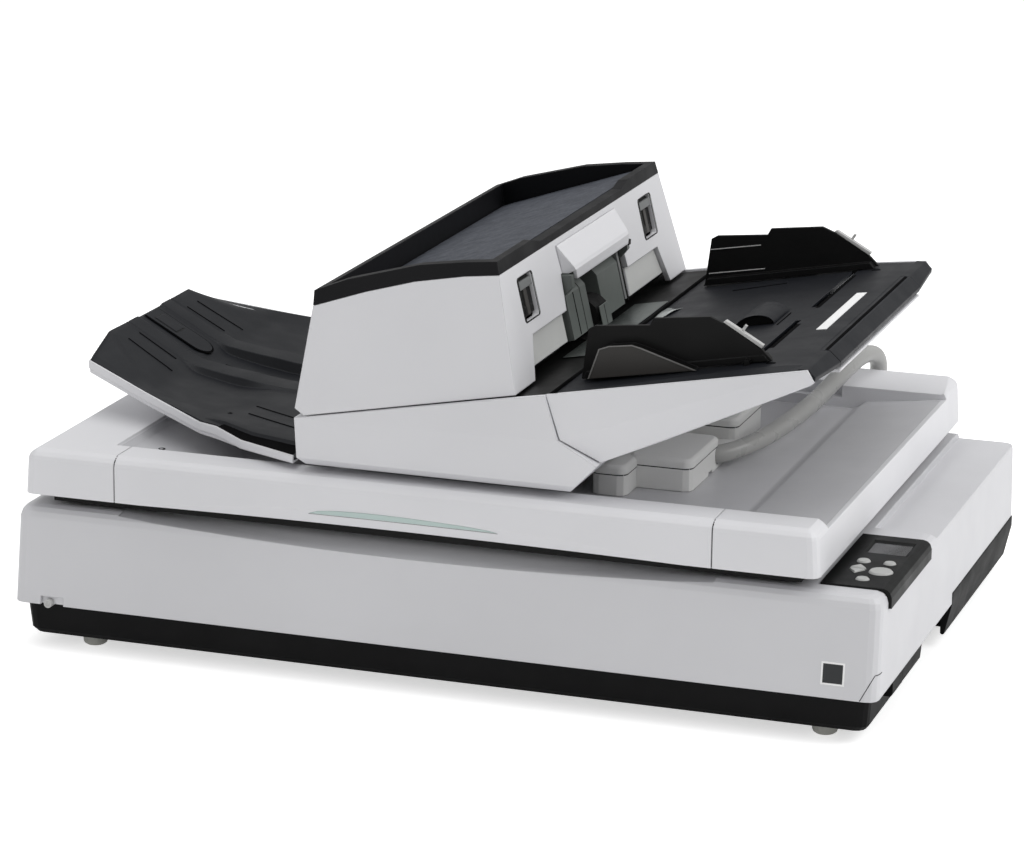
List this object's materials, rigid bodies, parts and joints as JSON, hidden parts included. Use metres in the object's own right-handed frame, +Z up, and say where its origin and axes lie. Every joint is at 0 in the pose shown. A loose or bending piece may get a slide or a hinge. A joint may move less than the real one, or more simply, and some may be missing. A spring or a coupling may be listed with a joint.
{
  "type": "flatbed scanner with a swivelling document feeder",
  "caption": "Low wide flatbed scanner whose lid carries a sliding, swivelling sheet feeder with a hopper, side guides and an output stacker.",
  "frame": {"origin": "on the table plane, in the middle of the whole footprint", "axes": "+X towards the hopper end, +Y to the back where the lid hinges are, +Z up"},
  "size_m": [0.7136, 0.5202, 0.3413],
  "materials": {
    "white_plastic": "fine grained moulded plastic, slightly warm white",
    "grey_plastic": "moulded warm grey plastic",
    "key_plastic": "smooth light grey plastic",
    "black_plastic": "black plastic with a fine grain",
    "tray_plastic": "charcoal plastic with a fine grain",
    "mat": "soft grained grey mat",
    "plate_metal": "dull pressed steel plates",
    "steel": "plain machined steel",
    "rubber": "soft black rubber",
    "glass": "clear flat glass",
    "screen": "dark glossy display window",
    "board": "green circuit board with dark chips"
  },
  "bodies": {
    "base": {"base_pan": "black_plastic", "base_cover": "white_plastic", "flatbed_glass": "glass", "foot_front_left": "grey_plastic", "foot_front_right": "grey_plastic", "foot_rear_left": "grey_plastic", "foot_rear_right": "grey_plastic", "panel_bezel": "black_plastic", "lcd_screen": "screen", "guide_rod": "steel", "drive_motor": "steel", "drive_belt": "rubber", "circuit_board": "board", "hinge_bracket_left": "steel", "hinge_bracket_right": "steel"},
    "key_menu": {"key_menu": "key_plastic"},
    "key_up": {"key_up": "key_plastic"},
    "key_down": {"key_down": "key_plastic"},
    "key_stop": {"key_stop": "key_plastic"},
    "key_start": {"key_start": "key_plastic"},
    "key_function": {"key_function": "key_plastic"},
    "transport_lock": {"transport_lock": "key_plastic"},
    "scan_carriage": {"scan_carriage": "black_plastic"},
    "drive_pulley": {"drive_pulley": "steel"},
    "idler_pulley": {"idler_pulley": "steel"},
    "lid": {"lid_shell": "white_plastic", "lid_frame": "black_plastic", "backing_pad": "white_plastic", "hinge_leaf_left": "steel", "hinge_leaf_right": "steel"},
    "slide_carriage": {"slide_carriage": "grey_plastic", "turntable_ring": "steel", "cable": "grey_plastic"},
    "lock_lever": {"lock_lever": "grey_plastic"},
    "feeder": {"feeder_lower_shell": "white_plastic", "swivel_post": "steel", "lower_guide": "black_plastic"},
    "feed_roller_lower": {"feed_roller_lower": "rubber"},
    "exit_roller_lower": {"exit_roller_lower": "rubber"},
    "separator_roller": {"separator_roller": "rubber"},
    "feeder_cover": {"feeder_upper_shell": "white_plastic", "top_tray_rim": "black_plastic", "top_tray_mat": "mat", "pick_hood": "white_plastic", "pick_frame": "plate_metal", "upper_guide": "black_plastic"},
    "latch_lever_front": {"latch_lever_front": "tray_plastic"},
    "latch_lever_rear": {"latch_lever_rear": "tray_plastic"},
    "feed_roller_upper": {"feed_roller_upper": "rubber"},
    "pick_roller": {"pick_roller": "rubber"},
    "hopper": {"hopper_shell": "white_plastic", "hopper_tray": "tray_plastic"},
    "hopper_extension": {"hopper_extension": "tray_plastic"},
    "side_guide_front": {"side_guide_front": "black_plastic"},
    "side_guide_rear": {"side_guide_rear": "black_plastic"},
    "guide_pinion": {"guide_pinion": "key_plastic"},
    "stacker": {"stacker_shell": "white_plastic", "stacker_tray": "tray_plastic"},
    "stacker_extension": {"stacker_extension": "tray_plastic"},
    "stopper_flap": {"stopper_flap": "tray_plastic"}
  },
  "joints": [
    {"name": "key_menu_press", "type": "slide", "parent": "base", "child": "key_menu", "axis": [0, 0, -1], "range_m": [0, 0.001]},
    {"name": "key_up_press", "type": "slide", "parent": "base", "child": "key_up", "axis": [0, 0, -1], "range_m": [0, 0.001]},
    {"name": "key_down_press", "type": "slide", "parent": "base", "child": "key_down", "axis": [0, 0, -1], "range_m": [0, 0.001]},
    {"name": "key_stop_press", "type": "slide", "parent": "base", "child": "key_stop", "axis": [0, 0, -1], "range_m": [0, 0.001]},
    {"name": "key_start_press", "type": "slide", "parent": "base", "child": "key_start", "axis": [0, 0, -1], "range_m": [0, 0.001]},
    {"name": "key_function_press", "type": "slide", "parent": "base", "child": "key_function", "axis": [0, 0, -1], "range_m": [0, 0.001]},
    {"name": "transport_lock_slide", "type": "slide", "parent": "base", "child": "transport_lock", "axis": [1, 0, 0], "range_m": [0, 0.0075]},
    {"name": "scan_travel", "type": "slide", "parent": "base", "child": "scan_carriage", "axis": [1, 0, 0], "range_m": [0, 0.44]},
    {"name": "drive_pulley_spin", "type": "hinge", "parent": "base", "child": "drive_pulley", "pos_m": [-0.30075, 0.1719, 0.076], "axis": [0, 0, 1], "continuous": true},
    {"name": "idler_pulley_spin", "type": "hinge", "parent": "base", "child": "idler_pulley", "pos_m": [0.28425, 0.1719, 0.076], "axis": [0, 0, 1], "continuous": true},
    {"name": "lid_hinge", "type": "hinge", "parent": "base", "child": "lid", "pos_m": [-0.01975, 0.2319, 0.1223], "axis": [-1, 0, 0], "range_deg": [0, 70]},
    {"name": "carriage_slide", "type": "slide", "parent": "lid", "child": "slide_carriage", "axis": [1, 0, 0], "range_m": [-0.045, 0.045]},
    {"name": "lock_lever_turn", "type": "hinge", "parent": "slide_carriage", "child": "lock_lever", "pos_m": [0.08325, -0.0521, 0.156], "axis": [0, 0, 1], "range_deg": [-15, 0]},
    {"name": "feeder_swivel", "type": "hinge", "parent": "slide_carriage", "child": "feeder", "pos_m": [-0.01975, -0.0041, 0.16], "axis": [0, 0, 1], "range_deg": [0, 180]},
    {"name": "feed_roller_lower_spin", "type": "hinge", "parent": "feeder", "child": "feed_roller_lower", "pos_m": [0.00725, -0.0041, 0.22397], "axis": [0, 1, 0], "continuous": true},
    {"name": "exit_roller_lower_spin", "type": "hinge", "parent": "feeder", "child": "exit_roller_lower", "pos_m": [-0.08475, -0.0041, 0.20841], "axis": [0, 1, 0], "continuous": true},
    {"name": "separator_roller_spin", "type": "hinge", "parent": "feeder", "child": "separator_roller", "pos_m": [0.04725, -0.0041, 0.22817], "axis": [0, 1, 0], "continuous": true},
    {"name": "feeder_cover_hinge", "type": "hinge", "parent": "feeder", "child": "feeder_cover", "pos_m": [-0.11475, -0.0041, 0.215], "axis": [0, -1, 0], "range_deg": [0, 60]},
    {"name": "latch_front_pull", "type": "hinge", "parent": "feeder_cover", "child": "latch_lever_front", "pos_m": [0.03875, -0.1631, 0.316], "axis": [0, -1, 0], "range_deg": [0, 12]},
    {"name": "latch_rear_pull", "type": "hinge", "parent": "feeder_cover", "child": "latch_lever_rear", "pos_m": [0.03875, 0.1549, 0.316], "axis": [0, -1, 0], "range_deg": [0, 12]},
    {"name": "feed_roller_upper_spin", "type": "hinge", "parent": "feeder_cover", "child": "feed_roller_upper", "pos_m": [0.00725, -0.0041, 0.24277], "axis": [0, 1, 0], "continuous": true},
    {"name": "pick_roller_spin", "type": "hinge", "parent": "feeder_cover", "child": "pick_roller", "pos_m": [0.04725, -0.0041, 0.25707], "axis": [0, 1, 0], "continuous": true},
    {"name": "hopper_lift", "type": "slide", "parent": "feeder", "child": "hopper", "axis": [0, 0, 1], "range_m": [0, 0.03]},
    {"name": "hopper_extension_slide", "type": "slide", "parent": "hopper", "child": "hopper_extension", "axis": [0.9929, 0, 0.1191], "range_m": [0, 0.06]},
    {"name": "side_guide_front_slide", "type": "slide", "parent": "hopper", "child": "side_guide_front", "axis": [0, 1, 0], "range_m": [0, 0.13]},
    {"name": "side_guide_rear_slide", "type": "slide", "parent": "hopper", "child": "side_guide_rear", "axis": [0, -1, 0], "range_m": [0, 0.13]},
    {"name": "guide_pinion_spin", "type": "hinge", "parent": "hopper", "child": "guide_pinion", "pos_m": [0.22825, -0.0041, 0.263], "axis": [0, 0, 1], "range_deg": [-760, 760]},
    {"name": "stacker_tilt", "type": "hinge", "parent": "feeder", "child": "stacker", "pos_m": [-0.12325, -0.0041, 0.174], "axis": [0, 1, 0], "range_deg": [0, 20]},
    {"name": "stacker_extension_slide", "type": "slide", "parent": "stacker", "child": "stacker_extension", "axis": [-0.8765, 0, 0.4814], "range_m": [0, 0.045]},
    {"name": "stopper_flap_raise", "type": "hinge", "parent": "stacker_extension", "child": "stopper_flap", "pos_m": [-0.33765, -0.0041, 0.2187], "axis": [0, -1, 0], "range_deg": [0, 85]}
  ],
  "couplings": [
    {"joint": "drive_pulley_spin", "follows": "scan_travel", "rad_per_m": 125},
    {"joint": "idler_pulley_spin", "follows": "scan_travel", "rad_per_m": 125},
    {"joint": "feed_roller_lower_spin", "follows": "feed_roller_upper_spin", "ratio": -1},
    {"joint": "exit_roller_lower_spin", "follows": "feed_roller_upper_spin", "ratio": -1.125},
    {"joint": "pick_roller_spin", "follows": "feed_roller_upper_spin", "ratio": 0.6},
    {"joint": "side_guide_rear_slide", "follows": "side_guide_front_slide", "ratio": 1},
    {"joint": "guide_pinion_spin", "follows": "side_guide_front_slide", "rad_per_m": -90.909}
  ]
}
